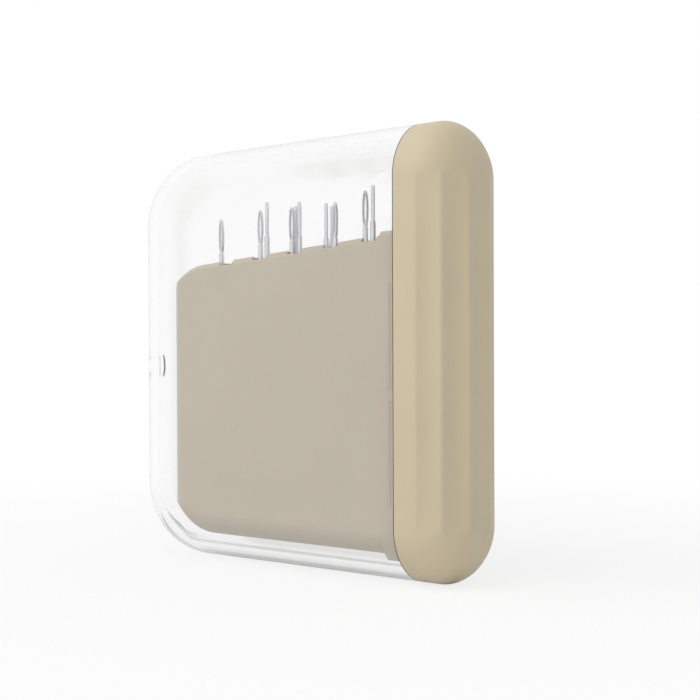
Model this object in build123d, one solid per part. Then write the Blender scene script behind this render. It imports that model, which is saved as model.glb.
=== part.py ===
from build123d import *
import math
import os

# Slide-out needle box. A clear sleeve, closed at one end, slides over a drawer made of a
# fluted end cap and a flat needle magazine. The magazine is two half shells that meet in
# the middle of its thickness and form five tall pockets, and large-eye needles stand in
# the pockets with their eyes above the crown.
#
# Millimetres. +X runs from the closed end to the cap, -Y is the front, +Z is up. The
# origin is the middle of the closed box's bottom.

# The closed box
box_height = 62.0
box_depth = 16.0          # front to back, and all its long edges are full rounds of it
sleeve_length = 52.0      # closed end to mouth
cap_length = 8.75
seam_gap = 0.05           # between the sleeve's mouth and the cap
overshoot = 1.0           # how far cutting forms run past the faces they cut through

# Clear sleeve
sleeve_wall = 1.5
sleeve_corner = 11.3      # radius of the closed end's two corners, seen from the front
mouth_bevel = 0.3
push_hole_radius = 1.75   # a fingertip pin or pen starts the drawer through this hole
push_hole_height = 29.2
push_hole_forward = 2.6   # from the middle of the closed end towards the front

# End cap
cap_nose = 5.6            # length of the domed nose, as half an ellipse in plan
cap_wall = 1.6
flute_count = 5
flute_angle = 34.0        # from ridge to ridge, as an angle on the nose's ellipse
flute_depth = 0.3         # below the straight line between two ridges
ridge_round = 0.35
flute_rise = 2.0          # the flutes run on this far into the two domes
flute_run_out = 2.5       # and fade over this height before they end
run_out_depth = 0.8       # a little more than the flutes' full depth
cap_rib_thickness = 0.9
cap_rib_depth = 1.4
cap_rib_count = 5
cap_rib_pitch = 7.5
boss_radius = 2.1

# Plate that closes the cap and holds the magazine's tang
plate_thickness = 1.5
plate_clearance = 0.1
peg_radius = 1.1
peg_length = 2.4
peg_clearance = 0.05
peg_inset = 5.3           # from the box's bottom and top to the pegs

# Needle magazine
magazine_gap = 6.2        # from the sleeve's closed end to the magazine's end
magazine_clearance = 0.5  # to the sleeve's front and back walls
magazine_bottom = 3.9     # height of its lower edge
headroom_low = 16.7       # from the crown to the sleeve's roof, at the closed end
headroom_high = 13.45     # and at the cap
magazine_corner = 9.5
end_slack = 0.2           # the slabs' ends lie this far outside the full-round end
crown_bevel = 0.8         # front and back edges of the crown and its corner
keel_round = 3.5          # lower edges, inside the sleeve's round bottom
shell_wall = 0.8
rib_thickness = 0.9

# Root of the magazine: a collar that guides it in the sleeve, and a tang in the cap
collar_length = 2.9
collar_clearance = 0.2    # to the sleeve's front and back walls
collar_step = 0.2         # above the crown and below the lower edge
grip_radius = 0.55        # of the four ridges that rub on the sleeve's walls
grip_clearance = 0.05
grip_length = 14.0
tang_depth = 7.0
tang_margin = 5.0         # from the collar's ends to the tang's
tang_clearance = 0.1
hook_reach = 1.0
hook_thickness = 1.2

# Pockets, in a row that ends at the collar
pocket_count = 5
pocket_margin = 11.4      # from the magazine's end to the first pocket
pocket_rib = 1.9          # wall between two pockets
pocket_corner = 0.5
notch_width = 2.6         # thread notches across the crown at each pocket
notch_depth = 0.65

# Pegs that line the half shells up
dowel_radius = 0.7
dowel_length = 1.6
dowel_clearance = 0.05
dowel_boss = 1.5

# Large-eye needles
shank_radius = 0.4
point_length = 7.0
point_tip_radius = 0.06
eye_length = 5.2
eye_width = 1.05
eye_opening_length = 4.1
eye_opening_width = 0.5
eye_thickness = 0.55
eye_overlap = 0.5         # how far the round shank runs up into the flat eye
needle_seat = 0.05        # the points stand just clear of the pocket floor

# Each needle: its name, its pocket, its distances from the pocket's left and front walls,
# its headroom under the sleeve's roof, and the turn of its eye about the shank, in degrees.
needles = (
    ("needle_1", 1, 0.6, 0.55, 9.45, -12.0),
    ("needle_2_front", 2, 1.85, 0.55, 8.65, -8.0),
    ("needle_2_back", 2, 3.0, 0.7, 7.55, -45.0),
    ("needle_3_front", 3, 1.25, 0.55, 8.65, -6.0),
    ("needle_3_middle", 3, 1.1, 1.6, 8.35, -50.0),
    ("needle_3_back", 3, 2.1, 1.2, 7.9, -58.0),
    ("needle_4_front", 4, 0.9, 0.55, 8.55, -45.0),
    ("needle_4_middle", 4, 1.0, 1.7, 8.9, -50.0),
    ("needle_4_back", 4, 2.5, 0.6, 8.55, -25.0),
    ("needle_5_front", 5, 1.15, 0.55, 7.4, -8.0),
    ("needle_5_back", 5, 2.25, 0.8, 6.75, -48.0),
)

# Places worked out from the sizes above
box_length = sleeve_length + cap_length
closed_end = -box_length / 2
mouth = closed_end + sleeve_length
cap_tip = box_length / 2
nose_centre = cap_tip - cap_nose
middle_height = box_height / 2
edge_round = box_depth / 2
round_centre = middle_height - edge_round
cavity_depth = box_depth - 2 * sleeve_wall
plate_face = mouth + seam_gap

roof = box_height - sleeve_wall
magazine_end = closed_end + magazine_gap
magazine_depth = cavity_depth - 2 * magazine_clearance
crown_low = roof - headroom_low
crown_high = roof - headroom_high
crown_slope = (crown_high - crown_low) / (mouth - magazine_end)
collar_start = mouth - collar_length
collar_depth = cavity_depth - 2 * collar_clearance
floor_height = magazine_bottom + keel_round  # so that the rounded keel keeps its wall
pocket_depth = magazine_depth - 2 * shell_wall
row_start = magazine_end + pocket_margin
row_length = collar_start - row_start
pocket_width = (row_length - (pocket_count - 1) * pocket_rib) / pocket_count
pocket_pitch = pocket_width + pocket_rib
tang_bottom = magazine_bottom - collar_step + tang_margin
tang_top = crown_high + collar_step - tang_margin
peg_heights = (peg_inset, box_height - peg_inset)


def crown_height(x):
    """Height of the magazine's sloping crown at a place along the box."""
    return crown_low + crown_slope * (x - magazine_end)


def pocket_centre(number):
    """Place along X of a pocket's middle, counted from the closed end."""
    return row_start + pocket_width / 2 + (number - 1) * pocket_pitch


def block(low, high):
    """Box between two opposite corners."""
    size = [b - a for a, b in zip(low, high)]
    return Pos(*low) * Box(*size, align=(Align.MIN, Align.MIN, Align.MIN))


def rod(radius, start, end):
    """Round rod between two points."""
    axis = Vector(*end) - Vector(*start)
    plane = Plane(origin=start, z_dir=axis)
    return plane * Cylinder(radius, axis.length, align=(Align.CENTER, Align.CENTER, Align.MIN))


def full_round_bag(radius, end):
    """Flat solid with a full-round rim, open-ended at x = end, whose rim's centre line runs
    round the closed end of the sleeve. A smaller radius gives the hollow inside a larger one."""
    left = closed_end + edge_round
    high, low = middle_height + round_centre, middle_height - round_centre
    path = FilletPolyline(
        (end, 0, high), (left, 0, high), (left, 0, low), (end, 0, low),
        radius=sleeve_corner - edge_round,
    )
    sheet = make_face([*path.edges(), Edge.make_line((end, 0, low), (end, 0, high))])
    core = extrude(sheet, amount=radius, dir=(0, 1, 0), both=True)
    start = Plane(origin=(end, 0, high), x_dir=(0, 1, 0), z_dir=(-1, 0, 0))
    disc = start * Circle(radius)
    outside = start * Pos(0, -radius) * Rectangle(2 * radius, 2 * radius)
    rim = sweep(disc & outside, path=path)
    return core + rim


def clear_sleeve():
    body = full_round_bag(edge_round, mouth)
    body = body.chamfer(mouth_bevel, None, body.faces().sort_by(Axis.X)[-1].outer_wire().edges())
    hollow = full_round_bag(edge_round - sleeve_wall, mouth + overshoot)
    start = (closed_end - overshoot, -push_hole_forward, push_hole_height)
    end = (closed_end + edge_round / 2, -push_hole_forward, push_hole_height)
    hole = rod(push_hole_radius, start, end)
    return body - hollow - hole


def nose_point(angle):
    """Point of the nose's ellipse in plan, seen from its centre at the given angle."""
    a = math.radians(angle)
    return (nose_centre + cap_nose * math.cos(a), edge_round * math.sin(a))


def nose_plan(base, inset=0.0):
    """Plan of the cap: straight sides from x = base, then half an ellipse."""
    half = edge_round - inset
    nose = Pos(nose_centre, 0) * Ellipse(cap_nose - inset, half)
    ahead = Pos(nose_centre, 0) * Rectangle(box_depth, box_depth, align=(Align.MIN, Align.CENTER))
    sides = Pos(base, 0) * Rectangle(nose_centre - base, 2 * half, align=(Align.MIN, Align.CENTER))
    return sides + (nose & ahead)


def nose_form(base, inset=0.0):
    """The cap's smooth form: its plan run up the height, and turned round at both ends."""
    plan = nose_plan(base, inset)
    column = Pos(0, 0, middle_height - round_centre) * extrude(plan, amount=2 * round_centre)
    half = plan & Pos(base, 0) * Rectangle(2 * box_depth, box_depth, align=Align.MIN)
    top = Pos(0, 0, middle_height + round_centre) * revolve(half, axis=Axis.X, revolution_arc=180)
    return column + top + mirror(top, about=Plane.XY.offset(middle_height))


def fluted_plan(base):
    """Plan with a row of shallow hollows round the nose, and softened ridges between them."""
    plan = nose_plan(base)
    ridges = []
    for k in range(flute_count):
        first = (k - flute_count / 2) * flute_angle
        a = Vector(*nose_point(first))
        b = Vector(*nose_point(first + flute_angle))
        chord = (b - a).length
        radius = chord ** 2 / (8 * flute_depth) + flute_depth / 2
        outward = Vector((b - a).Y, -(b - a).X).normalized()
        centre = (a + b) * 0.5 + outward * (radius - flute_depth)
        plan -= Pos(centre.X, centre.Y) * Circle(radius)
        ridges += [a, b]
    corners = [
        v for v in plan.vertices()
        if any((Vector(v.X, v.Y) - r).length < flute_depth for r in ridges)
    ]
    return fillet(corners, ridge_round)


def flute_ends():
    """Plugs that fill the flutes in the two domes. Each starts inside the flutes and widens
    to the smooth plan."""
    slope = math.degrees(math.atan(run_out_depth / flute_run_out))
    plug = extrude(nose_plan(plate_face, run_out_depth), amount=box_depth, taper=-slope)
    start = round_centre + flute_rise - flute_run_out
    upper = Pos(0, 0, middle_height + start) * plug
    lower = Pos(0, 0, middle_height - start) * mirror(plug, about=Plane.XY)
    return upper + lower


def cap_ribs():
    """Short ribs across the inside of the nose."""
    ribs = []
    depth = cap_tip - cap_wall - cap_rib_depth
    for k in range(cap_rib_count):
        z = middle_height + (k - (cap_rib_count - 1) / 2) * cap_rib_pitch
        rib = block(
            (depth, -edge_round, z - cap_rib_thickness / 2),
            (cap_tip, edge_round, z + cap_rib_thickness / 2),
        )
        ribs.append(rib & nose_form(plate_face, cap_wall / 2))
    return ribs


def end_cap():
    smooth = nose_form(plate_face)
    fluted = (extrude(fluted_plan(plate_face), amount=box_height) + flute_ends()) & smooth
    hollow = nose_form(plate_face - overshoot, cap_wall)
    bosses = [
        rod(boss_radius, (plate_face + plate_thickness, 0, z), (cap_tip - cap_wall / 2, 0, z))
        for z in peg_heights
    ]
    holes = [
        rod(peg_radius + peg_clearance, (plate_face, 0, z),
            (plate_face + plate_thickness + peg_length + plate_clearance, 0, z))
        for z in peg_heights
    ]
    cap = fluted - hollow
    for piece in bosses + cap_ribs():
        cap += piece
    for hole in holes:
        cap -= hole
    return cap


def cap_plate():
    """Flat plate that closes the cap, with a window for the magazine's tang."""
    half = edge_round - cap_wall - plate_clearance
    outline = Plane.YZ * SlotCenterToCenter(2 * round_centre, 2 * half, rotation=90)
    plate = Pos(plate_face, 0, middle_height) * extrude(outline, amount=plate_thickness)
    window_half = tang_depth / 2 + tang_clearance
    plate -= block(
        (plate_face - overshoot, -window_half, tang_bottom - tang_clearance),
        (plate_face + plate_thickness + overshoot, window_half, tang_top + tang_clearance),
    )
    for z in peg_heights:
        back = plate_face + plate_thickness
        plate += rod(peg_radius, (back, 0, z), (back + peg_length, 0, z))
    return plate


def magazine_slab(left, low, high_left, high_right, finish_rim, rim_size):
    """Slab of the magazine's thickness, with rounded corners at its left end and its rims
    bevelled or rounded."""
    corners = [
        (collar_start, 0, high_right), (left, 0, high_left), (left, 0, low), (collar_start, 0, low),
    ]
    path = FilletPolyline(*corners, radius=magazine_corner)
    sheet = make_face([*path.edges(), Edge.make_line(corners[-1], corners[0])])
    slab = extrude(sheet, amount=magazine_depth / 2, dir=(0, 1, 0), both=True)
    faces = slab.faces().sort_by(Axis.Y)
    rim = [
        edge for face in (faces[0], faces[-1]) for edge in face.edges()
        if edge.center().X < collar_start - rim_size
    ]
    return finish_rim(rim, rim_size)


def magazine_form():
    """Outer form of the magazine: the part that a slab with a bevelled crown, a slab with a
    soft lower edge and a column with a full-round end have in common."""
    left = magazine_end - end_slack
    far = 2 * magazine_corner
    crown = magazine_slab(
        left, magazine_bottom - far, crown_height(left), crown_height(collar_start),
        chamfer, crown_bevel,
    )
    keel = magazine_slab(
        left, magazine_bottom, crown_high + far, crown_high + far, fillet, keel_round
    )
    half = magazine_depth / 2
    tall = 2 * box_height
    column = Cylinder(half, tall) + Box(
        box_length, magazine_depth, tall, align=(Align.MIN, Align.CENTER, Align.CENTER)
    )
    return crown & keel & (Pos(magazine_end + half, 0, 0) * column)


def magazine_root():
    """Collar that fills the sleeve's depth, and the hooked tang that the cap plate holds."""
    low = magazine_bottom - collar_step
    high = crown_high + collar_step
    half = collar_depth / 2
    section = Plane.YZ * SlotCenterToCenter(2 * round_centre, 2 * half, rotation=90)
    collar = Pos(collar_start, 0, middle_height) * extrude(section, amount=collar_length)
    collar &= block((collar_start, -half, low), (mouth, half, high))
    top = collar.faces().sort_by(Axis.Z)[-1]
    collar = fillet(top.edges().filter_by(Axis.X), crown_bevel)
    hook_start = plate_face + plate_thickness + plate_clearance
    tang = block((mouth, -tang_depth / 2, tang_bottom), (hook_start, tang_depth / 2, tang_top))
    hook = block(
        (hook_start, -tang_depth / 2 - hook_reach, tang_bottom + hook_reach),
        (hook_start + hook_thickness, tang_depth / 2 + hook_reach, tang_top - hook_reach),
    )
    root = collar + tang + hook
    grip_x = mouth - collar_length / 2
    for side in (-1, 1):
        y = side * (cavity_depth / 2 - grip_clearance - grip_radius)
        for z in (low + grip_length, high - grip_length):
            root += rod(grip_radius, (grip_x, y, z - grip_length / 2), (grip_x, y, z + grip_length / 2))
    return root


def pocket_cuts():
    """Five tall pockets with rounded ends, and the shallow notches across the crown."""
    cuts = []
    for number in range(1, pocket_count + 1):
        x = pocket_centre(number)
        plan = RectangleRounded(pocket_width, pocket_depth, pocket_corner)
        cuts.append(Pos(x, 0, floor_height) * extrude(plan, amount=box_height))
        crown = crown_height(x)
        cuts.append(block(
            (x - notch_width / 2, -box_depth, crown - notch_depth),
            (x + notch_width / 2, box_depth, crown + box_depth),
        ))
    return cuts


def left_rib():
    """Place of the rib that halves the solid-looking end left of the pockets."""
    return (magazine_end + magazine_corner / 2 + row_start - rib_thickness) / 2


def core_bays():
    """Two moulded hollows left of the pockets, with a rib between them."""
    bottom = magazine_bottom + magazine_corner / 2
    ceiling = crown_low - magazine_corner / 2
    half = magazine_depth / 2 - 2 * shell_wall
    spans = [
        (magazine_end + magazine_corner / 2, left_rib() - rib_thickness / 2),
        (left_rib() + rib_thickness / 2, row_start - rib_thickness),
    ]
    return [block((a, -half, bottom), (b, half, ceiling)) for a, b in spans]


def dowel_places():
    """Where the half shells' pegs stand, as X and Z."""
    left = left_rib()
    right = mouth - collar_length / 2
    return [(left, magazine_bottom + magazine_corner), (left, crown_low - magazine_corner),
            (right, tang_bottom), (right, tang_top)]


def magazine_halves():
    """Front and back half shells, with pegs on the front one and holes in the back one."""
    whole = magazine_form() + magazine_root()
    for cut in pocket_cuts() + core_bays():
        whole -= cut
    half = magazine_depth / 2 - shell_wall / 2
    for x, z in dowel_places()[:2]:
        whole += rod(dowel_boss, (x, -half, z), (x, half, z))
    front = split(whole, bisect_by=Plane.XZ, keep=Keep.TOP)
    back = split(whole, bisect_by=Plane.XZ, keep=Keep.BOTTOM)
    for x, z in dowel_places():
        front += rod(dowel_radius, (x, -dowel_length, z), (x, dowel_length, z))
        reach = dowel_length + 2 * dowel_clearance
        back -= rod(dowel_radius + dowel_clearance, (x, 0, z), (x, reach, z))
    return front, back


def needle(length):
    """Large-eye needle standing on its point at the origin, with its eye facing front."""
    shank_top = length - eye_length + eye_overlap
    outline = make_face(Polyline(
        (0, 0), (point_tip_radius, 0), (shank_radius, point_length),
        (shank_radius, shank_top), (0, shank_top), close=True,
    ))
    shank = revolve(Plane.XZ * outline, axis=Axis.Z)
    eye = SlotOverall(eye_length, eye_width, rotation=90)
    eye -= SlotOverall(eye_opening_length, eye_opening_width, rotation=90)
    head = extrude(Plane.XZ * eye, amount=eye_thickness / 2, both=True)
    return shank + Pos(0, 0, length - eye_length / 2) * head


def placed_needle(pocket, from_left, from_front, headroom, turn):
    """A needle on its pocket's floor, long enough to leave its headroom."""
    x = pocket_centre(pocket) - pocket_width / 2 + from_left
    y = from_front - pocket_depth / 2
    z = floor_height + needle_seat
    return Pos(x, y, z) * Rot(0, 0, turn) * needle(roof - headroom - z)


os.makedirs("parts", exist_ok=True)
front_half, back_half = magazine_halves()
pieces = {
    "clear_sleeve": clear_sleeve(),
    "end_cap": end_cap(),
    "cap_plate": cap_plate(),
    "magazine_front": front_half,
    "magazine_back": back_half,
}
for name, *place in needles:
    pieces[name] = placed_needle(*place)
for name, piece in pieces.items():
    export_step(piece, f"parts/{name}.step")
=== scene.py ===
"""Looks of a slide-out needle box: a clear sleeve over a beige drawer with a fluted end cap
and a magazine of large-eye needles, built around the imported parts, in metres."""

import math

import bmesh
import bpy
import numpy as np
from mathutils import Matrix, Vector


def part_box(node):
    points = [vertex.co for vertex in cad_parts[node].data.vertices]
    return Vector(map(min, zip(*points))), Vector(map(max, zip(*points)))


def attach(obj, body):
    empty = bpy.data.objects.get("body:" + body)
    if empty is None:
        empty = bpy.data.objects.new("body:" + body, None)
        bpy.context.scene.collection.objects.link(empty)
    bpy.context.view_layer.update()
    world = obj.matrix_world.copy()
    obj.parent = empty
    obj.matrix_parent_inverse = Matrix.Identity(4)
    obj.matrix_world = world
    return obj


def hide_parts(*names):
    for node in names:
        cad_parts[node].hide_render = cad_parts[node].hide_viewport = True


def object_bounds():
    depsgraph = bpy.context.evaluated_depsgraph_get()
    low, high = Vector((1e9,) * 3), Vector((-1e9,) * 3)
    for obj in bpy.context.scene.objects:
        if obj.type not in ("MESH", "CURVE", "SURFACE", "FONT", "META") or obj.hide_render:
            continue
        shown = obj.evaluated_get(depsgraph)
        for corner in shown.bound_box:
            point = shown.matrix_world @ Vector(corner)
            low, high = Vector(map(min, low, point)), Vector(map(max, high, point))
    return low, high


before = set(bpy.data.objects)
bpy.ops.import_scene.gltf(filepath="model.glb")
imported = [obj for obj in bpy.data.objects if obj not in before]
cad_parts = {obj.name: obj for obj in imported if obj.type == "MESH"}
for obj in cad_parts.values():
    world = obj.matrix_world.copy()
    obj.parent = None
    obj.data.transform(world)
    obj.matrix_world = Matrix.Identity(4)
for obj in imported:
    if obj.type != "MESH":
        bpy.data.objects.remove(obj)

bl_info = {
    "name": "Needle Box",
    "version": (1, 0, 0),
    "blender": (4, 5, 0),
    "location": "View3D > Sidebar > Needle Box",
    "description": "Builds the pieces, finishes and studio of a slide-out needle box",
    "category": "Add Mesh",
}

MM = 0.001
WELD = 0.002 * MM                   # points nearer to each other than this are one point

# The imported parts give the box's main sizes
CAD_LOW, CAD_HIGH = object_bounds()
SLEEVE_LOW, SLEEVE_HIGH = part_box("clear_sleeve")
CAP_LOW, CAP_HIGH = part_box("end_cap")
HEIGHT = SLEEVE_HIGH.z
EDGE_ROUND = SLEEVE_HIGH.y          # the long edges are full rounds, half the box's depth
NEEDLES = sorted(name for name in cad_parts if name.startswith("needle_"))


def linear(hex_colour):
    """Turn an sRGB hex colour into the linear numbers that a shader takes."""
    shares = [int(hex_colour[k:k + 2], 16) / 255 for k in (1, 3, 5)]
    return [s / 12.92 if s <= 0.04045 else ((s + 0.055) / 1.055) ** 2.4 for s in shares]


def length_setting(name, description, default):
    return bpy.props.FloatProperty(
        name=name, description=description, default=default,
        min=0.0, subtype="DISTANCE", unit="LENGTH", precision=5,
    )


def colour_setting(name, description, hex_colour):
    return bpy.props.FloatVectorProperty(
        name=name, description=description, default=linear(hex_colour),
        min=0.0, max=1.0, size=3, subtype="COLOR",
    )


def share_setting(name, description, default):
    return bpy.props.FloatProperty(
        name=name, description=description, default=default, min=0.0, max=1.0, subtype="FACTOR",
    )


def power_setting(name, description, default):
    return bpy.props.FloatProperty(
        name=name, description=description, default=default, min=0.0, unit="POWER",
    )


def angle_setting(name, description, degrees):
    return bpy.props.FloatProperty(
        name=name, description=description, default=math.radians(degrees),
        subtype="ANGLE", unit="ROTATION",
    )


class SleeveSettings(bpy.types.PropertyGroup):
    """Sizes of the clear sleeve."""
    wall: length_setting("Wall", "Thickness of the clear wall", 1.5 * MM)
    corner: length_setting("Corner", "Radius of the closed end's corners", 11.3 * MM)
    edge_break: length_setting("Edge break", "Rounding of the mouth and hole edges", 0.15 * MM)
    hole_radius: length_setting("Hole radius", "Radius of the hole in the closed end", 1.75 * MM)
    hole_height: length_setting("Hole height", "Height of that hole", 29.2 * MM)
    hole_forward: length_setting("Hole forward", "From the middle to the front", 2.6 * MM)


class CapSettings(bpy.types.PropertyGroup):
    """Sizes of the fluted end cap."""
    nose: length_setting("Nose", "Length of the domed nose", 5.6 * MM)
    wall: length_setting("Wall", "Thickness of the moulded wall", 1.6 * MM)
    flutes: bpy.props.IntProperty(
        name="Flutes", description="Number of flutes round the nose", default=5, min=1,
    )
    flute_angle: angle_setting("Flute angle", "Angle from ridge to ridge", 34.0)
    flute_depth: length_setting("Flute depth", "Hollow below the line between ridges", 0.4 * MM)
    flute_rise: length_setting("Flute rise", "How far the flutes run into the domes", 2.0 * MM)
    run_out: length_setting("Run-out", "Height over which the flutes fade", 7.0 * MM)
    softness: bpy.props.FloatProperty(
        name="Ridge softness", description="Rounding of the ridges, as a share of the nose",
        default=0.02, min=0.001, subtype="FACTOR",
    )
    edge_break: length_setting("Edge break", "Rounding of the cap's rim", 0.1 * MM)


class MagazineSettings(bpy.types.PropertyGroup):
    """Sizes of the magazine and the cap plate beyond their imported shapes."""
    edge_break: length_setting("Edge break", "Rounding of the moulded edges", 0.12 * MM)


class NeedleSettings(bpy.types.PropertyGroup):
    """Sizes of the large-eye needles."""
    shank_radius: length_setting("Shank radius", "Radius of the round shank", 0.4 * MM)
    tip_radius: length_setting("Tip radius", "Radius of the blunted point", 0.06 * MM)
    point_length: length_setting("Point", "Length of the tapered point", 7.0 * MM)
    eye_length: length_setting("Eye length", "Length of the flattened eye", 5.2 * MM)
    eye_width: length_setting("Eye width", "Width across the eye", 1.0 * MM)
    eye_depth: length_setting("Eye depth", "Thickness of the flattened eye", 0.5 * MM)
    eye_side: length_setting("Eye side", "Width of the steel at each side of the eye", 0.2 * MM)


class StudioSettings(bpy.types.PropertyGroup):
    """Camera and light."""
    azimuth: angle_setting("Azimuth", "Turn of the camera from the front to the cap", 39.0)
    elevation: angle_setting("Elevation", "Height angle of the camera", 0.68)
    roll: angle_setting("Roll", "Turn of the camera about its own axis", -0.231)
    distance: length_setting("Distance", "Camera to the point it looks at", 180.0 * MM)
    target: bpy.props.FloatVectorProperty(
        name="Target", description="Point the camera looks at",
        default=(7.98 * MM, 0.0, 28.65 * MM), size=3, subtype="TRANSLATION", unit="LENGTH",
    )
    focal_length: bpy.props.FloatProperty(
        name="Focal length", description="Lens, on a 36 mm sensor", default=64.985,
        unit="CAMERA",
    )
    shift_up: bpy.props.FloatProperty(
        name="Shift", description="Lens shift that the photo's framing needs", default=0.02857,
    )
    lamp_side: length_setting("Lamp side", "Side of each square soft box", 0.5)
    lamp_distance: length_setting("Lamp distance", "Soft box to the object's middle", 0.6)
    key_power: power_setting("Key power", "Power of the soft box in front", 2.0)
    fill_power: power_setting("Fill power", "Power of the soft box on the cap's side", 0.8)
    backdrop: colour_setting("Backdrop", "Colour that the floor and surroundings show", "#FFFFFF")
    ambient: share_setting("Ambient", "Strength of the surroundings as light", 0.5)
    floor_side: length_setting("Floor side", "Side of the square floor", 6.0)
    shadow_cover: share_setting("Shadow cover", "Share of plain white over the shadow", 0.8)
    shadow_reach: length_setting("Shadow reach", "Where the shadow starts to fade", 40 * MM)
    plain_reach: length_setting("Plain reach", "Where the floor is plain white", 160 * MM)
    through_clear: share_setting("Through clear", "Ambient light kept behind the sleeve", 0.9)
    # Painted shade: a long painted contact shadow on the floor under the rim, seen only in gloss
    # and through the clear plastic
    painted_shadow_streak: share_setting("Streak", "Lightness of the floor's long dark spot", 0.15)
    # Painted shade: a darker painted spot on the floor out from the closed end's lower corner,
    # seen only in gloss and through the clear plastic
    painted_corner_shade: share_setting("Corner spot", "Lightness of the floor's spot at the corner", 0.02)


class FinishSettings(bpy.types.PropertyGroup):
    """Colours of the materials; the magazine's beige also carries painted light."""
    beige: colour_setting("Beige", "End cap", "#CBBDA0")
    # The magazine's own tone is more neutral than the cap's; its extra lightness over the cap's
    # beige is painted light, making up for the light that the sleeve holds back from the magazine
    neutral_beige_painted_lighter: colour_setting("Pale beige", "Magazine and cap plate", "#D6CAB4")
    cloud: share_setting("Cloud", "How much darker the faint clouds in the moulding are", 0.08)
    clear: colour_setting("Clear", "Tint of the clear plastic", "#FCFCFC")
    steel: colour_setting("Steel", "Nickel-plated needles", "#DADADE")


class NeedleBoxSettings(bpy.types.PropertyGroup):
    """Everything that a user would change."""
    sleeve: bpy.props.PointerProperty(type=SleeveSettings)
    cap: bpy.props.PointerProperty(type=CapSettings)
    magazine: bpy.props.PointerProperty(type=MagazineSettings)
    needle: bpy.props.PointerProperty(type=NeedleSettings)
    studio: bpy.props.PointerProperty(type=StudioSettings)
    finish: bpy.props.PointerProperty(type=FinishSettings)


# Nodes and meshes

def add_node(tree, kind, settings=None, inputs=None):
    """Add a node to a tree, with its settings and with its inputs set or linked."""
    node = tree.nodes.new(kind)
    for name, value in (settings or {}).items():
        setattr(node, name, value)
    for key, value in (inputs or {}).items():
        if isinstance(value, bpy.types.NodeSocket):
            tree.links.new(value, node.inputs[key])
        else:
            node.inputs[key].default_value = value
    return node


def add_inputs(tree, sockets):
    """Give a Geometry Nodes tree its geometry sockets and named inputs. Returns its input node."""
    for direction in ("INPUT", "OUTPUT"):
        tree.interface.new_socket("Geometry", in_out=direction, socket_type="NodeSocketGeometry")
    for name, kind in sockets.items():
        tree.interface.new_socket(name, in_out="INPUT", socket_type=kind)
    return add_node(tree, "NodeGroupInput")


def run_tree(obj, tree, values):
    """Put a Geometry Nodes tree on an object, set its inputs, and keep the plain mesh it gives."""
    modifier = obj.modifiers.new(tree.name, "NODES")
    modifier.node_group = tree
    sockets = {
        item.name: item.identifier for item in tree.interface.items_tree
        if item.item_type == "SOCKET" and item.in_out == "INPUT"
    }
    for name, value in values.items():
        modifier[sockets[name]] = value
    return keep_result(obj)


def keep_result(obj):
    """Replace an object's mesh by what its modifiers make of it, and drop the modifiers."""
    bpy.context.view_layer.update()
    graph = bpy.context.evaluated_depsgraph_get()
    mesh = bpy.data.meshes.new_from_object(
        obj.evaluated_get(graph), preserve_all_data_layers=True, depsgraph=graph)
    mesh.name = obj.name
    obj.modifiers.clear()
    obj.data = mesh
    return obj


def new_piece(name, mesh):
    obj = bpy.data.objects.new(name, mesh)
    bpy.context.scene.collection.objects.link(obj)
    return obj


def mesh_from(name, points, faces):
    """Mesh from points and faces, with doubles merged and faces turned outwards."""
    mesh = bpy.data.meshes.new(name)
    mesh.from_pydata(points, [], faces)
    form = bmesh.new()
    form.from_mesh(mesh)
    bmesh.ops.remove_doubles(form, verts=form.verts, dist=WELD)
    bmesh.ops.recalc_face_normals(form, faces=form.faces)
    form.to_mesh(mesh)
    form.free()
    return mesh


def soften(obj, width, limit=35.0, segments=3):
    """Round an object's sharp edges, and shade its faces so that flats stay flat."""
    for face in obj.data.polygons:
        face.use_smooth = True
    bevel = obj.modifiers.new("edge break", "BEVEL")
    bevel.width = width
    bevel.segments = segments
    bevel.limit_method = "ANGLE"
    bevel.angle_limit = math.radians(limit)
    shade = obj.modifiers.new("flat shading", "WEIGHTED_NORMAL")
    shade.mode = "FACE_AREA"
    return keep_result(obj)


def shell(outer, inner, flats):
    """Points and faces of a thin shell. outer and inner are grids of points, of the same size,
    joined round their open rims. flats says whether each grid's two side columns are closed
    by one flat face each."""
    rows, columns = len(outer), len(outer[0])
    points = [p for row in outer for p in row] + [p for row in inner for p in row]
    half = rows * columns
    faces = []
    for base in (0, half):
        for i in range(rows - 1):
            for j in range(columns - 1):
                a = base + i * columns + j
                faces.append((a, a + 1, a + 1 + columns, a + columns))
        if flats:
            faces.append([base + i * columns for i in range(rows)])
            faces.append([base + i * columns + columns - 1 for i in range(rows)])
    if flats:
        start = list(range(columns))
        end = [(rows - 1) * columns + j for j in range(columns)]
    else:
        start = [i * columns for i in range(rows)]
        end = [i * columns + columns - 1 for i in range(rows)]
    rim = start + end[::-1]
    for a, b in zip(rim, rim[1:] + rim[:1]):
        faces.append((a, b, b + half, a + half))
    return points, faces


# Clear sleeve

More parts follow.
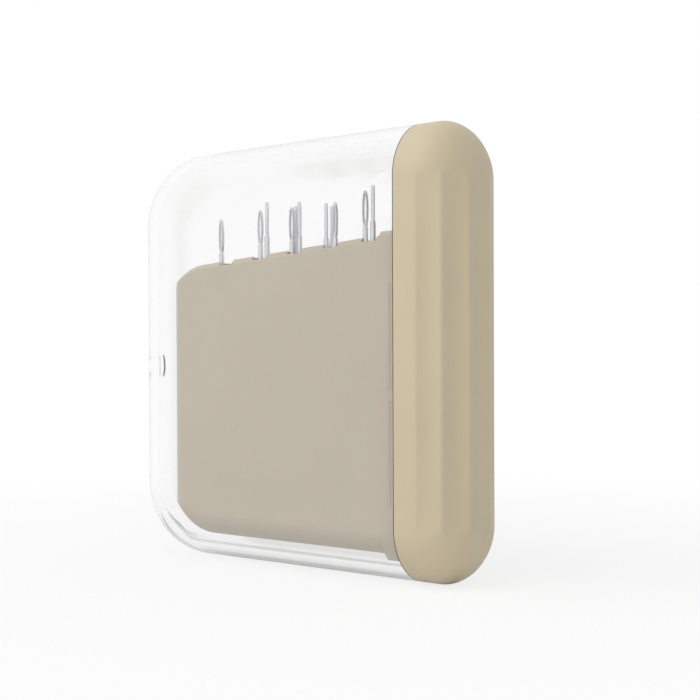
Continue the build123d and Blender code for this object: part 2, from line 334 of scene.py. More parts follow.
def rim_path(corner, step=2 * MM, turns=24):
    """Centre line of the sleeve's round rim, from the mouth's top round the closed end to the
    mouth's bottom. Each point carries its outward direction: (x, z, out x, out z)."""
    radius = corner - EDGE_ROUND
    centre_x = SLEEVE_LOW.x + corner
    centre_z = HEIGHT - corner
    top = [
        (x, HEIGHT - EDGE_ROUND, 0.0, 1.0)
        for x in np.linspace(SLEEVE_HIGH.x, centre_x, round((SLEEVE_HIGH.x - centre_x) / step))
    ]
    turn = []
    for k in range(1, turns + 1):
        angle = math.pi / 2 * (1 + k / turns)
        out = (math.cos(angle), math.sin(angle))
        turn.append((centre_x + radius * out[0], centre_z + radius * out[1], *out))
    drop = centre_z - HEIGHT / 2
    side = [
        (centre_x - radius, z, -1.0, 0.0)
        for z in np.linspace(centre_z, HEIGHT / 2, round(drop / step))[1:]
    ]
    upper = top + turn + side
    lower = [(x, HEIGHT - z, out_x, -out_z) for x, z, out_x, out_z in upper[-2::-1]]
    return upper + lower


def rim_grid(path, radius, turns=40):
    """Grid of points on a round rim of a given radius, swept along its path, front to back."""
    grid = []
    for x, z, out_x, out_z in path:
        row = []
        for k in range(turns + 1):
            angle = math.pi * k / turns
            reach = radius * math.sin(angle)
            row.append((x + out_x * reach, -radius * math.cos(angle), z + out_z * reach))
        grid.append(row)
    return grid


def bore(piece, centre, radius, depth):
    """Cut a round hole along X, centred on a point, into a piece."""
    mesh = bpy.data.meshes.new("drill")
    form = bmesh.new()
    bmesh.ops.create_cone(
        form, cap_ends=True, segments=48, radius1=radius, radius2=radius, depth=depth,
        matrix=Matrix.Translation(centre) @ Matrix.Rotation(math.pi / 2, 4, "Y"),
    )
    form.to_mesh(mesh)
    form.free()
    drill = new_piece("drill", mesh)
    hole = piece.modifiers.new("hole", "BOOLEAN")
    hole.object = drill
    hole.solver = "EXACT"
    keep_result(piece)
    bpy.data.objects.remove(drill)


class NEEDLEBOX_OT_sleeve(bpy.types.Operator):
    """Build the clear sleeve with its hole"""
    bl_idname = "needlebox.sleeve"
    bl_label = "Clear sleeve"

    def execute(self, context):
        sizes = context.scene.needle_box.sleeve
        path = rim_path(sizes.corner)
        points, faces = shell(
            rim_grid(path, EDGE_ROUND), rim_grid(path, EDGE_ROUND - sizes.wall), flats=True)
        sleeve = new_piece("sleeve_clear", mesh_from("sleeve_clear", points, faces))
        hole_centre = (SLEEVE_LOW.x, -sizes.hole_forward, sizes.hole_height)
        bore(sleeve, hole_centre, sizes.hole_radius, depth=EDGE_ROUND)
        soften(sleeve, sizes.edge_break)
        sleeve.data.materials.clear()
        sleeve.data.materials.append(clear_plastic(context.scene.needle_box.finish))
        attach(sleeve, "sleeve")
        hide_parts("clear_sleeve")
        return {"FINISHED"}


# End cap

def cap_grid(base, nose_centre, nose, half, dome_rows=28, straight_rows=8, sweep=168, side=4):
    """Grid of points on a smooth cap, from its bottom to its top: a dome, a straight part and
    a dome. Each row is a level section: straight sides from the base, then half an ellipse.
    sweep counts the steps round the ellipse, and side those along each straight side."""
    low = EDGE_ROUND
    high = HEIGHT - EDGE_ROUND
    levels = [(low, math.pi / 2 * (k / dome_rows - 1)) for k in range(dome_rows + 1)]
    levels += [(low + (high - low) * k / straight_rows, 0.0) for k in range(1, straight_rows)]
    levels += [(high, math.pi / 2 * k / dome_rows) for k in range(dome_rows + 1)]
    grid = []
    for z, tilt in levels:
        share = max(math.cos(tilt), 0.0)
        height = z + half * math.sin(tilt)
        sides = np.linspace(base, nose_centre, side + 1)[:-1]
        row = [(x, -half * share, height) for x in sides]
        for k in range(sweep + 1):
            angle = math.pi * (k / sweep - 0.5)
            reach = nose * share * math.cos(angle)
            row.append((nose_centre + reach, half * share * math.sin(angle), height))
        row += [(x, half * share, height) for x in sides[::-1]]
        grid.append(row)
    return grid


def flute_tree():
    """Geometry Nodes that press a row of soft upright flutes into a nose of elliptical plan."""
    tree = bpy.data.node_groups.new("flutes", "GeometryNodeTree")
    given = add_inputs(tree, {
        "Flutes": "NodeSocketInt", "Flute Angle": "NodeSocketFloat",
        "Flute Depth": "NodeSocketFloat", "Softness": "NodeSocketFloat",
        "Nose Centre": "NodeSocketFloat", "Nose": "NodeSocketFloat",
        "Half Depth": "NodeSocketFloat", "Middle": "NodeSocketFloat", "Reach": "NodeSocketFloat",
        "Run-out": "NodeSocketFloat", "Material": "NodeSocketMaterial",
    }).outputs
    place = add_node(tree, "GeometryNodeInputPosition").outputs[0]
    centre = add_node(tree, "ShaderNodeCombineXYZ", None, {"X": given["Nose Centre"]}).outputs[0]
    from_centre = add_node(
        tree, "ShaderNodeVectorMath", {"operation": "SUBTRACT"}, {0: place, 1: centre}).outputs[0]
    plan = add_node(
        tree, "ShaderNodeVectorMath", {"operation": "MULTIPLY"},
        {0: from_centre, 1: (1.0, 1.0, 0.0)}).outputs[0]
    radii = add_node(
        tree, "ShaderNodeCombineXYZ", None,
        {"X": given["Nose"], "Y": given["Half Depth"], "Z": 1.0}).outputs[0]
    unit_plan = add_node(
        tree, "ShaderNodeVectorMath", {"operation": "DIVIDE"}, {0: plan, 1: radii}).outputs[0]
    reach = add_node(
        tree, "ShaderNodeVectorMath", {"operation": "LENGTH"}, {0: unit_plan}).outputs["Value"]
    real_reach = add_node(
        tree, "ShaderNodeVectorMath", {"operation": "LENGTH"}, {0: plan}).outputs["Value"]
    safe_reach = add_node(
        tree, "ShaderNodeMath", {"operation": "MAXIMUM"}, {0: reach, 1: 1e-6}).outputs[0]
    local_radius = add_node(
        tree, "ShaderNodeMath", {"operation": "DIVIDE"}, {0: real_reach, 1: safe_reach}).outputs[0]
    split = add_node(tree, "ShaderNodeSeparateXYZ", None, {0: unit_plan}).outputs
    angle = add_node(
        tree, "ShaderNodeMath", {"operation": "ARCTAN2"},
        {0: split["Y"], 1: split["X"]}).outputs[0]

    # Angle inside one flute, from its middle
    span = add_node(
        tree, "ShaderNodeMath", {"operation": "MULTIPLY"},
        {0: given["Flutes"], 1: given["Flute Angle"]}).outputs[0]
    half_span = add_node(
        tree, "ShaderNodeMath", {"operation": "MULTIPLY"}, {0: span, 1: 0.5}).outputs[0]
    half_flute = add_node(
        tree, "ShaderNodeMath", {"operation": "MULTIPLY"},
        {0: given["Flute Angle"], 1: 0.5}).outputs[0]
    from_end = add_node(
        tree, "ShaderNodeMath", {"operation": "ADD"}, {0: angle, 1: half_span}).outputs[0]
    wrapped = add_node(
        tree, "ShaderNodeMath", {"operation": "FLOORED_MODULO"},
        {0: from_end, 1: given["Flute Angle"]}).outputs[0]
    local = add_node(
        tree, "ShaderNodeMath", {"operation": "SUBTRACT"}, {0: wrapped, 1: half_flute}).outputs[0]

    # A straight line between two ridges, in the nose's unit circle, and the hollow below it
    ridge_cosine = add_node(
        tree, "ShaderNodeMath", {"operation": "COSINE"}, {0: half_flute}).outputs[0]
    cosine = add_node(tree, "ShaderNodeMath", {"operation": "COSINE"}, {0: local}).outputs[0]
    chord = add_node(
        tree, "ShaderNodeMath", {"operation": "DIVIDE"}, {0: ridge_cosine, 1: cosine}).outputs[0]
    across = add_node(
        tree, "ShaderNodeMath", {"operation": "DIVIDE"}, {0: local, 1: half_flute}).outputs[0]
    across_squared = add_node(
        tree, "ShaderNodeMath", {"operation": "MULTIPLY"}, {0: across, 1: across}).outputs[0]
    bowl = add_node(
        tree, "ShaderNodeMath", {"operation": "SUBTRACT"}, {0: 1.0, 1: across_squared}).outputs[0]
    depth_share = add_node(
        tree, "ShaderNodeMath", {"operation": "DIVIDE"},
        {0: given["Flute Depth"], 1: local_radius}).outputs[0]
    hollow = add_node(
        tree, "ShaderNodeMath", {"operation": "MULTIPLY"}, {0: bowl, 1: depth_share}).outputs[0]
    floor = add_node(
        tree, "ShaderNodeMath", {"operation": "SUBTRACT"}, {0: chord, 1: hollow}).outputs[0]
    fluted = add_node(
        tree, "ShaderNodeMath", {"operation": "ADD"}, {0: floor, 1: given["Softness"]}).outputs[0]
    pressed = add_node(
        tree, "ShaderNodeMath", {"operation": "SMOOTH_MIN"},
        {0: reach, 1: fluted, 2: given["Softness"]}).outputs[0]
    change = add_node(
        tree, "ShaderNodeMath", {"operation": "DIVIDE"}, {0: pressed, 1: safe_reach}).outputs[0]
    shrink = add_node(
        tree, "ShaderNodeMath", {"operation": "SUBTRACT"}, {0: change, 1: 1.0}).outputs[0]

    # The flutes fade out at both ends
    height = add_node(tree, "ShaderNodeSeparateXYZ", None, {0: place}).outputs["Z"]
    off_middle = add_node(
        tree, "ShaderNodeMath", {"operation": "SUBTRACT"},
        {0: height, 1: given["Middle"]}).outputs[0]
    distance = add_node(
        tree, "ShaderNodeMath", {"operation": "ABSOLUTE"}, {0: off_middle}).outputs[0]
    fade_start = add_node(
        tree, "ShaderNodeMath", {"operation": "SUBTRACT"},
        {0: given["Reach"], 1: given["Run-out"]}).outputs[0]
    fade = add_node(
        tree, "ShaderNodeMapRange", {"interpolation_type": "SMOOTHSTEP"},
        {"Value": distance, "From Min": fade_start, "From Max": given["Reach"],
         "To Min": 1.0, "To Max": 0.0}).outputs[0]
    faded = add_node(
        tree, "ShaderNodeMath", {"operation": "MULTIPLY"}, {0: shrink, 1: fade}).outputs[0]
    offset = add_node(
        tree, "ShaderNodeVectorMath", {"operation": "SCALE"},
        {0: plan, "Scale": faded}).outputs[0]

    # Only the flutes' own span is pressed
    turn = add_node(tree, "ShaderNodeMath", {"operation": "ABSOLUTE"}, {0: angle}).outputs[0]
    inside = add_node(
        tree, "ShaderNodeMath", {"operation": "LESS_THAN"}, {0: turn, 1: half_span}).outputs[0]
    moved = add_node(
        tree, "GeometryNodeSetPosition", None,
        {"Geometry": given["Geometry"], "Selection": inside, "Offset": offset}).outputs[0]
    real = add_node(tree, "GeometryNodeRealizeInstances", None, {0: moved}).outputs[0]
    finished = add_node(
        tree, "GeometryNodeSetMaterial", None,
        {"Geometry": real, "Material": given["Material"]}).outputs[0]
    add_node(tree, "NodeGroupOutput", None, {0: finished})
    return tree


class NEEDLEBOX_OT_cap(bpy.types.Operator):
    """Build the fluted end cap"""
    bl_idname = "needlebox.cap"
    bl_label = "End cap"

    def execute(self, context):
        sizes = context.scene.needle_box.cap
        finish = context.scene.needle_box.finish
        base = CAP_LOW.x
        nose_centre = CAP_HIGH.x - sizes.nose
        outer = cap_grid(base, nose_centre, sizes.nose, EDGE_ROUND)
        inner = cap_grid(base, nose_centre, sizes.nose - sizes.wall, EDGE_ROUND - sizes.wall)
        points, faces = shell(outer, inner, flats=False)
        cap = new_piece("cap_fluted", mesh_from("cap_fluted", points, faces))
        run_tree(cap, flute_tree(), {
            "Flutes": sizes.flutes, "Flute Angle": sizes.flute_angle,
            "Flute Depth": sizes.flute_depth, "Softness": sizes.softness,
            "Nose Centre": nose_centre, "Nose": sizes.nose, "Half Depth": EDGE_ROUND,
            "Middle": HEIGHT / 2, "Reach": HEIGHT / 2 - EDGE_ROUND + sizes.flute_rise,
            "Run-out": sizes.run_out,
            "Material": beige_plastic("moulded_abs_beige", finish.beige, finish),
        })
        soften(cap, sizes.edge_break, limit=50)
        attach(cap, "drawer")
        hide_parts("end_cap")
        return {"FINISHED"}


# Magazine and cap plate

def merged_copy(node, name):
    """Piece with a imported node's shape, its loose triangles joined into whole flat faces."""
    piece = new_piece(name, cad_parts[node].data.copy())
    piece.data.name = name
    form = bmesh.new()
    form.from_mesh(piece.data)
    bmesh.ops.remove_doubles(form, verts=form.verts, dist=WELD)
    bmesh.ops.dissolve_limit(
        form, angle_limit=math.radians(0.2), verts=form.verts, edges=form.edges)
    form.to_mesh(piece.data)
    form.free()
    return piece


class NEEDLEBOX_OT_magazine(bpy.types.Operator):
    """Dress the two magazine halves and the cap plate"""
    bl_idname = "needlebox.magazine"
    bl_label = "Magazine"

    def execute(self, context):
        sizes = context.scene.needle_box.magazine
        finish = context.scene.needle_box.finish
        # A lighter copy of the beige: partly the parts' own more neutral tone, partly painted
        # light
        plastic = beige_plastic("moulded_abs_pale_beige", finish.neutral_beige_painted_lighter, finish)
        for node, name in (
            ("magazine_front", "magazine_half_front"),
            ("magazine_back", "magazine_half_back"),
            ("cap_plate", "plate_in_cap"),
        ):
            piece = merged_copy(node, name)
            soften(piece, sizes.edge_break, limit=30, segments=2)
            piece.data.materials.clear()
            piece.data.materials.append(plastic)
            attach(piece, "drawer")
            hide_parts(node)
        return {"FINISHED"}


# Needles

def needle_tree():
    """Geometry Nodes that make a needle on its point: a shank that tapers to the point, and a
    flattened eye drawn as a slender loop above it."""
    tree = bpy.data.node_groups.new("needle", "GeometryNodeTree")
    given = add_inputs(tree, {
        "Length": "NodeSocketFloat", "Shank Radius": "NodeSocketFloat",
        "Tip Radius": "NodeSocketFloat", "Point Length": "NodeSocketFloat",
        "Eye Length": "NodeSocketFloat", "Eye Width": "NodeSocketFloat",
        "Eye Depth": "NodeSocketFloat", "Eye Side": "NodeSocketFloat",
        "Material": "NodeSocketMaterial",
    }).outputs

    # The shank runs a fifth of the eye's length up between the eye's two sides, and thins there
    eye_share = add_node(
        tree, "ShaderNodeMath", {"operation": "MULTIPLY"},
        {0: given["Eye Length"], 1: 0.8}).outputs[0]
    shank_top = add_node(
        tree, "ShaderNodeMath", {"operation": "SUBTRACT"},
        {0: given["Length"], 1: eye_share}).outputs[0]
    top = add_node(tree, "ShaderNodeCombineXYZ", None, {"Z": shank_top}).outputs[0]
    line = add_node(tree, "GeometryNodeCurvePrimitiveLine", None, {"End": top}).outputs[0]
    steps = add_node(
        tree, "GeometryNodeResampleCurve", None, {"Curve": line, "Count": 90}).outputs[0]
    height = add_node(
        tree, "ShaderNodeSeparateXYZ", None,
        {0: add_node(tree, "GeometryNodeInputPosition").outputs[0]}).outputs["Z"]
    point = add_node(
        tree, "ShaderNodeMapRange", {"interpolation_type": "SMOOTHSTEP"},
        {"Value": height, "From Max": given["Point Length"], "To Min": given["Tip Radius"],
         "To Max": given["Shank Radius"]}).outputs[0]
    neck_start = add_node(
        tree, "ShaderNodeMath", {"operation": "SUBTRACT"},
        {0: given["Length"], 1: given["Eye Length"]}).outputs[0]
    neck = add_node(
        tree, "ShaderNodeMapRange", {"interpolation_type": "SMOOTHSTEP"},
        {"Value": height, "From Min": neck_start, "From Max": shank_top, "To Min": 1.0,
         "To Max": 0.15}).outputs[0]
    radius = add_node(
        tree, "ShaderNodeMath", {"operation": "MULTIPLY"}, {0: point, 1: neck}).outputs[0]
    round_section = add_node(
        tree, "GeometryNodeCurvePrimitiveCircle", None,
        {"Resolution": 20, "Radius": 1.0}).outputs[0]
    shank = add_node(
        tree, "GeometryNodeCurveToMesh", None,
        {"Curve": steps, "Profile Curve": round_section, "Scale": radius,
         "Fill Caps": True}).outputs[0]

    # The eye: a ring of radius 1 and section radius 0.25, stretched to a slender flat loop
    ring_section = 0.25
    ring = add_node(
        tree, "GeometryNodeMeshCircle", None, {"Vertices": 72, "Radius": 1.0}).outputs[0]
    ring_curve = add_node(tree, "GeometryNodeMeshToCurve", None, {"Mesh": ring}).outputs[0]
    section = add_node(
        tree, "GeometryNodeCurvePrimitiveCircle", None,
        {"Resolution": 14, "Radius": 1.0}).outputs[0]
    torus = add_node(
        tree, "GeometryNodeCurveToMesh", None,
        {"Curve": ring_curve, "Profile Curve": section, "Scale": ring_section}).outputs[0]
    parts = add_node(
        tree, "ShaderNodeSeparateXYZ", None,
        {0: add_node(tree, "GeometryNodeInputPosition").outputs[0]}).outputs
    turn = add_node(
        tree, "ShaderNodeMath", {"operation": "ARCTAN2"},
        {0: parts["Y"], 1: parts["X"]}).outputs[0]
    across = add_node(tree, "ShaderNodeMath", {"operation": "COSINE"}, {0: turn}).outputs[0]
    along = add_node(tree, "ShaderNodeMath", {"operation": "SINE"}, {0: turn}).outputs[0]
    flat = add_node(
        tree, "ShaderNodeCombineXYZ", None, {"X": parts["X"], "Y": parts["Y"]}).outputs[0]
    ring_reach = add_node(
        tree, "ShaderNodeVectorMath", {"operation": "LENGTH"}, {0: flat}).outputs["Value"]
    outward = add_node(
        tree, "ShaderNodeMapRange", {"clamp": False},
        {"Value": ring_reach, "From Min": 1 - ring_section, "From Max": 1 + ring_section,
         "To Min": -1.0, "To Max": 0.0}).outputs[0]
    steel = add_node(
        tree, "ShaderNodeMath", {"operation": "MULTIPLY"},
        {0: outward, 1: given["Eye Side"]}).outputs[0]
    half_width = add_node(
        tree, "ShaderNodeMath", {"operation": "MULTIPLY"},
        {0: given["Eye Width"], 1: 0.5}).outputs[0]
    half_length = add_node(
        tree, "ShaderNodeMath", {"operation": "MULTIPLY"},
        {0: given["Eye Length"], 1: 0.5}).outputs[0]
    wide = add_node(
        tree, "ShaderNodeMath", {"operation": "ADD"}, {0: half_width, 1: steel}).outputs[0]
    tall = add_node(
        tree, "ShaderNodeMath", {"operation": "MULTIPLY_ADD"},
        {0: steel, 1: 2.0, 2: half_length}).outputs[0]
    x = add_node(
        tree, "ShaderNodeMath", {"operation": "MULTIPLY"}, {0: across, 1: wide}).outputs[0]
    depth = add_node(
        tree, "ShaderNodeMath", {"operation": "MULTIPLY"},
        {0: given["Eye Depth"], 1: 0.5 / ring_section}).outputs[0]
    y = add_node(
        tree, "ShaderNodeMath", {"operation": "MULTIPLY"}, {0: parts["Z"], 1: depth}).outputs[0]
    middle = add_node(
        tree, "ShaderNodeMath", {"operation": "SUBTRACT"},
        {0: given["Length"], 1: half_length}).outputs[0]
    z = add_node(
        tree, "ShaderNodeMath", {"operation": "MULTIPLY_ADD"},
        {0: along, 1: tall, 2: middle}).outputs[0]
    place = add_node(tree, "ShaderNodeCombineXYZ", None, {"X": x, "Y": y, "Z": z}).outputs[0]
    eye = add_node(
        tree, "GeometryNodeSetPosition", None, {"Geometry": torus, "Position": place}).outputs[0]

    joined = add_node(tree, "GeometryNodeJoinGeometry")
    tree.links.new(shank, joined.inputs[0])
    tree.links.new(eye, joined.inputs[0])
    real = add_node(tree, "GeometryNodeRealizeInstances", None, {0: joined.outputs[0]}).outputs[0]
    finished = add_node(
        tree, "GeometryNodeSetMaterial", None,
        {"Geometry": real, "Material": given["Material"]}).outputs[0]
    add_node(tree, "NodeGroupOutput", None, {0: finished})
    return tree


def eye_turn(mesh, low, high):
    """Turn of a packed needle's flat eye about its shank, read from the spread of its points
    near the top, where the needle is all eye."""
    near_top = 2 * MM
    middle = (low + high) / 2
    points = np.array([v.co[:] for v in mesh.vertices])
    eye = points[points[:, 2] > high.z - near_top][:, :2] - middle.to_2d()
    spread, directions = np.linalg.eigh(eye.T @ eye)
    return math.atan2(directions[1, -1], directions[0, -1])


class NEEDLEBOX_OT_needles(bpy.types.Operator):
    """Build the large-eye needles, each in its own place"""
    bl_idname = "needlebox.needles"
    bl_label = "Needles"

    def execute(self, context):
        sizes = context.scene.needle_box.needle
        finish = needle_steel(context.scene.needle_box.finish)
        tree = needle_tree()
        for name in NEEDLES:
            low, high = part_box(name)
            piece = new_piece(f"{name}_steel", bpy.data.meshes.new(f"{name}_steel"))
            run_tree(piece, tree, {
                "Length": high.z - low.z, "Shank Radius": sizes.shank_radius,
                "Tip Radius": sizes.tip_radius, "Point Length": sizes.point_length,
                "Eye Length": sizes.eye_length, "Eye Width": sizes.eye_width,
                "Eye Depth": sizes.eye_depth, "Eye Side": sizes.eye_side, "Material": finish,
            })
            turn = Matrix.Rotation(eye_turn(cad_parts[name].data, low, high), 4, "Z")
            foot = Matrix.Translation(((low.x + high.x) / 2, (low.y + high.y) / 2, low.z))
            piece.data.transform(foot @ turn)
            for face in piece.data.polygons:
                face.use_smooth = True
            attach(piece, name)
            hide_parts(name)
        return {"FINISHED"}


# Materials

def new_material(name):
    """Material and its node tree, emptied."""
    material = bpy.data.materials.new(name)
    material.use_nodes = True
    material.node_tree.nodes.clear()
    return material, material.node_tree


def beige_plastic(name, colour, finish):
    """ABS, injection moulded in a finely spark-eroded tool: satin, with faint clouds in the
    colour where the melt flowed, and a fine even grain."""
    material, tree = new_material(name)
    place = add_node(tree, "ShaderNodeTexCoord").outputs["Object"]
    # clouds are some 9 mm across
    clouds = add_node(
        tree, "ShaderNodeTexNoise", None,
        {"Vector": place, "Scale": 1 / (9 * MM), "Detail": 3.0}).outputs["Fac"]
    deeper = [(1 - finish.cloud) * part for part in colour]
    clouded = add_node(
        tree, "ShaderNodeMix", {"data_type": "RGBA"},
        {"Factor": clouds, 6: (*deeper, 1), 7: (*colour, 1)}).outputs[2]
    # the tool's grain is 0.05 mm, and is drawn at 0.25 mm so that it shows
    grain = add_node(
        tree, "ShaderNodeTexNoise", None,
        {"Vector": place, "Scale": 1 / (0.25 * MM), "Detail": 2.0}).outputs["Fac"]
    bump = add_node(
        tree, "ShaderNodeBump", None,
        {"Height": grain, "Strength": 0.12, "Distance": 0.03 * MM}).outputs["Normal"]
    surface = add_node(tree, "ShaderNodeBsdfPrincipled", None, {
        "Base Color": clouded, "Roughness": 0.46, "IOR": 1.54, "Normal": bump,
    }).outputs[0]
    add_node(tree, "ShaderNodeOutputMaterial", None, {"Surface": surface})
    return material


def clear_plastic(finish):
    """Polystyrene, injection moulded in a polished tool: clear and glossy, with a faint long
    waviness from cooling. Lamps light the drawer straight through it."""
    material, tree = new_material("moulded_polystyrene_clear")
    place = add_node(tree, "ShaderNodeTexCoord").outputs["Object"]
    # waves are some 14 mm long
    sink = add_node(
        tree, "ShaderNodeTexNoise", None,
        {"Vector": place, "Scale": 1 / (14 * MM), "Detail": 1.0}).outputs["Fac"]
    bump = add_node(
        tree, "ShaderNodeBump", None,
        {"Height": sink, "Strength": 0.05, "Distance": 0.02 * MM}).outputs["Normal"]
    plastic = add_node(tree, "ShaderNodeBsdfPrincipled", None, {
        "Base Color": (*finish.clear, 1), "Roughness": 0.0, "IOR": 1.58,
        "Transmission Weight": 1.0, "Normal": bump,
    }).outputs[0]
    open_way = add_node(
        tree, "ShaderNodeBsdfTransparent", None, {"Color": (*finish.clear, 1)}).outputs[0]
    to_lamp = add_node(tree, "ShaderNodeLightPath").outputs["Is Shadow Ray"]
    surface = add_node(
        tree, "ShaderNodeMixShader", None, {0: to_lamp, 1: plastic, 2: open_way}).outputs[0]
    add_node(tree, "ShaderNodeOutputMaterial", None, {"Surface": surface})
    return material


def needle_steel(finish):
    """Nickel-plated carbon steel wire, drawn and polished: bright, with hair-fine draw lines."""
    material, tree = new_material("nickel_plated_steel")
    place = add_node(tree, "ShaderNodeTexCoord").outputs["Object"]
    # draw lines are hair-fine, 0.12 mm apart, and twenty times as long
    stretched = add_node(
        tree, "ShaderNodeMapping", None, {"Vector": place, "Scale": (1.0, 1.0, 0.05)}).outputs[0]
    lines = add_node(
        tree, "ShaderNodeTexNoise", None,
        {"Vector": stretched, "Scale": 1 / (0.12 * MM), "Detail": 2.0}).outputs["Fac"]
    bump = add_node(
        tree, "ShaderNodeBump", None,
        {"Height": lines, "Strength": 0.15, "Distance": 0.02 * MM}).outputs["Normal"]
    surface = add_node(tree, "ShaderNodeBsdfPrincipled", None, {
        "Base Color": (*finish.steel, 1), "Metallic": 1.0, "Roughness": 0.16, "Normal": bump,
    }).outputs[0]
    add_node(tree, "ShaderNodeOutputMaterial", None, {"Surface": surface})
    return material


# Studio

def bearing(azimuth, elevation):
    """Direction from the object to a place at that azimuth, from the front towards the cap."""
    level = math.cos(elevation)
    return Vector((math.sin(azimuth) * level, -math.cos(azimuth) * level, math.sin(elevation)))


def facing(eye, target, roll=0.0):
    """Matrix of a camera or lamp at eye that looks at target."""
    back = (eye - target).normalized()
    right = Vector((0, 0, 1)).cross(back).normalized()
    up = back.cross(right)
    rolled_right = math.cos(roll) * right + math.sin(roll) * up
    rolled_up = math.cos(roll) * up - math.sin(roll) * right
    turn = Matrix((rolled_right, rolled_up, back)).transposed().to_4x4()
    return Matrix.Translation(eye) @ turn


def make_camera(studio):
    """Camera at the photo's viewing angle."""
    camera = bpy.data.cameras.new("camera")
    camera.lens = studio.focal_length
    camera.sensor_width = 36.0
    camera.shift_y = studio.shift_up
    camera.clip_start = 1 * MM
    obj = bpy.data.objects.new("camera", camera)
    bpy.context.scene.collection.objects.link(obj)
    target = Vector(studio.target)
    eye = target + studio.distance * bearing(studio.azimuth, studio.elevation)
    obj.matrix_world = facing(eye, target, studio.roll)
    bpy.context.scene.camera = obj


def make_lamp(name, azimuth, elevation, power, studio):
    """Square soft box that looks at the middle of the object, and lights it without being
    seen, also not in gloss or through clear plastic."""
    lamp = bpy.data.lights.new(name, "AREA")
    lamp.shape = "SQUARE"
    lamp.size = studio.lamp_side
    lamp.energy = power
    obj = bpy.data.objects.new(name, lamp)
    bpy.context.scene.collection.objects.link(obj)
    middle = Vector((0, 0, HEIGHT / 2))
    direction = bearing(math.radians(azimuth), math.radians(elevation))
    obj.matrix_world = facing(middle + studio.lamp_distance * direction, middle)
    obj.visible_camera = False
    obj.visible_transmission = False
    obj.visible_glossy = False


def seen_share(tree, rays, through_clear):
    """1 for rays that show the surroundings themselves, from the camera or by way of gloss or
    clear plastic, and 0 for those that light a surface. Light that reaches the drawer through
    the sleeve loses some of its way inside the wall, and through_clear makes up for that."""
    some = add_node(
        tree, "ShaderNodeMath", {"operation": "MAXIMUM"},
        {0: rays["Is Camera Ray"], 1: rays["Is Glossy Ray"]}).outputs[0]
    any_kind = add_node(
        tree, "ShaderNodeMath", {"operation": "MAXIMUM"},
        {0: some, 1: rays["Is Transmission Ray"]}).outputs[0]
    scattered = add_node(
        tree, "ShaderNodeMapRange", None,
        {"Value": rays["Diffuse Depth"], "To Min": 1.0, "To Max": through_clear}).outputs[0]
    return add_node(
        tree, "ShaderNodeMath", {"operation": "MULTIPLY"}, {0: any_kind, 1: scattered}).outputs[0]


def make_world(studio):
    """White surroundings, at full strength where they are seen and weaker as light."""
    world = bpy.data.worlds.new("studio")
    world.use_nodes = True
    tree = world.node_tree
    tree.nodes.clear()
    rays = add_node(tree, "ShaderNodeLightPath").outputs
    strength = add_node(
        tree, "ShaderNodeMapRange", None,
        {"Value": seen_share(tree, rays, studio.through_clear), "To Min": studio.ambient,
         "To Max": 1.0}).outputs[0]
    background = add_node(
        tree, "ShaderNodeBackground", None,
        {"Color": (*studio.backdrop, 1), "Strength": strength}).outputs[0]
    add_node(tree, "ShaderNodeOutputWorld", None, {"Surface": background})
    bpy.context.scene.world = world


def soft_spot(tree, place, centre, size, darkest):
    """Lightness of a floor with an oval dark spot of painted shade. size holds the oval's half
    axes; it is darkest within a fifth of them, and the floor is white from 1.6 times them
    outwards."""
    from_spot = add_node(
        tree, "ShaderNodeMapping", {"vector_type": "TEXTURE"},
        {"Vector": place, "Location": (*centre, 0), "Scale": (*size, 1.0)}).outputs[0]
    off_spot = add_node(
        tree, "ShaderNodeVectorMath", {"operation": "LENGTH"}, {0: from_spot}).outputs["Value"]
    return add_node(
        tree, "ShaderNodeMapRange", {"interpolation_type": "SMOOTHSTEP"},
        {"Value": off_spot, "From Min": 0.2, "From Max": 1.6, "To Min": darkest,
         "To Max": 1.0}).outputs[0]


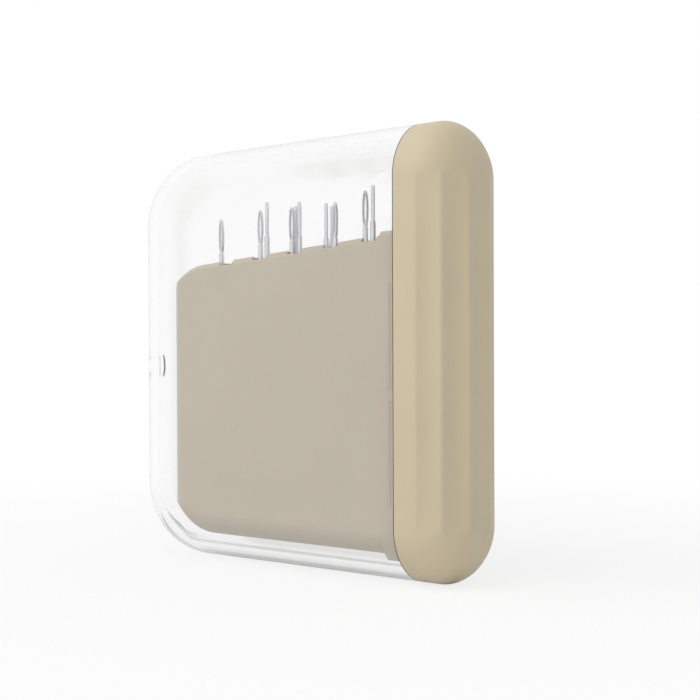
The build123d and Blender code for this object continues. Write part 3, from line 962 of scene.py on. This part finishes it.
def floor_paper(studio):
    """White seamless paper. Away from the object it shows only its own white, so that it meets
    the backdrop without a line, and near the object it carries the shadow. Gloss and clear
    plastic also show two spots of painted shade on it, a painted contact shadow under the rim
    and a painted dark spot out from the lower corner, which draw the line round the sleeve's
    lower edge."""
    material, tree = new_material("seamless_paper")
    rays = add_node(tree, "ShaderNodeLightPath").outputs
    place = add_node(tree, "ShaderNodeTexCoord").outputs["Object"]
    distance = add_node(
        tree, "ShaderNodeVectorMath", {"operation": "LENGTH"}, {0: place}).outputs["Value"]
    white_share = add_node(
        tree, "ShaderNodeMapRange", {"interpolation_type": "SMOOTHSTEP"},
        {"Value": distance, "From Min": studio.shadow_reach, "From Max": studio.plain_reach,
         "To Min": studio.shadow_cover, "To Max": 1.0}).outputs[0]
    share = add_node(
        tree, "ShaderNodeMath", {"operation": "MULTIPLY"},
        {0: seen_share(tree, rays, studio.through_clear), 1: white_share}).outputs[0]

    # Painted shade on the floor, seen only in gloss and through the clear plastic: a long painted
    # contact shadow under the rim, and a darker painted spot out from the closed end's lower
    # corner
    painted_shadow_streak = soft_spot(tree, place, (0, -0.8 * MM), (45 * MM, 1.2 * MM), studio.painted_shadow_streak)
    corner = soft_spot(
        tree, place, (CAD_LOW.x - 5 * MM, 1.5 * MM), (9 * MM, 2 * MM), studio.painted_corner_shade)
    lightness = add_node(
        tree, "ShaderNodeMath", {"operation": "MINIMUM"}, {0: painted_shadow_streak, 1: corner}).outputs[0]
    strength = add_node(
        tree, "ShaderNodeMath", {"operation": "MAXIMUM"},
        {0: lightness, 1: rays["Is Camera Ray"]}).outputs[0]
    shown = add_node(
        tree, "ShaderNodeEmission", None,
        {"Color": (*studio.backdrop, 1), "Strength": strength}).outputs[0]
    white = 0.9          # paper sends back nine tenths of the light
    paper = add_node(
        tree, "ShaderNodeBsdfDiffuse", None, {"Color": (white, white, white, 1)}).outputs[0]
    mixed = add_node(tree, "ShaderNodeMixShader", None, {0: share, 1: paper, 2: shown}).outputs[0]
    add_node(tree, "ShaderNodeOutputMaterial", None, {"Surface": mixed})
    return material


class NEEDLEBOX_OT_stage(bpy.types.Operator):
    """Set up the floor, the light and the camera"""
    bl_idname = "needlebox.stage"
    bl_label = "Stage"

    def execute(self, context):
        studio = context.scene.needle_box.studio
        make_camera(studio)
        make_world(studio)
        half = studio.floor_side / 2
        corners = [(-half, -half, 0), (half, -half, 0), (half, half, 0), (-half, half, 0)]
        mesh = bpy.data.meshes.new("floor")
        mesh.from_pydata(corners, [], [(0, 1, 2, 3)])
        floor = new_piece("floor", mesh)
        floor.data.materials.append(floor_paper(studio))
        make_lamp("key_soft_box", -30, 50, studio.key_power, studio)
        make_lamp("fill_soft_box", 40, 15, studio.fill_power, studio)
        context.scene.view_settings.view_transform = "Standard"
        return {"FINISHED"}


# Sidebar and add-on

def list_settings(layout, group):
    """Show each setting of a property group in the sidebar."""
    for name in group.bl_rna.properties.keys():
        if name not in {"rna_type", "name"}:
            layout.prop(group, name)


class NEEDLEBOX_PT_pieces(bpy.types.Panel):
    """Lists the pieces, the stage and the finishes with their settings"""
    bl_idname = "NEEDLEBOX_PT_pieces"
    bl_label = "Needle Box"
    bl_space_type = "VIEW_3D"
    bl_region_type = "UI"
    bl_category = "Needle Box"

    def draw(self, context):
        for operator, group in PIECES:
            box = self.layout.box()
            box.operator(operator.bl_idname)
            list_settings(box, getattr(context.scene.needle_box, group))
        box = self.layout.box()
        box.label(text="Finishes")
        list_settings(box, context.scene.needle_box.finish)


PIECES = (
    (NEEDLEBOX_OT_stage, "studio"),
    (NEEDLEBOX_OT_sleeve, "sleeve"),
    (NEEDLEBOX_OT_cap, "cap"),
    (NEEDLEBOX_OT_magazine, "magazine"),
    (NEEDLEBOX_OT_needles, "needle"),
)
CLASSES = (
    SleeveSettings, CapSettings, MagazineSettings, NeedleSettings, StudioSettings,
    FinishSettings, NeedleBoxSettings, *(operator for operator, group in PIECES),
    NEEDLEBOX_PT_pieces,
)


def register():
    for cls in CLASSES:
        bpy.utils.register_class(cls)
    bpy.types.Scene.needle_box = bpy.props.PointerProperty(type=NeedleBoxSettings)


def unregister():
    del bpy.types.Scene.needle_box
    for cls in reversed(CLASSES):
        bpy.utils.unregister_class(cls)


def main():
    register()
    for operator, group in PIECES:
        kind, name = operator.bl_idname.split(".")
        getattr(getattr(bpy.ops, kind), name)()


if __name__ == "__main__":
    main()
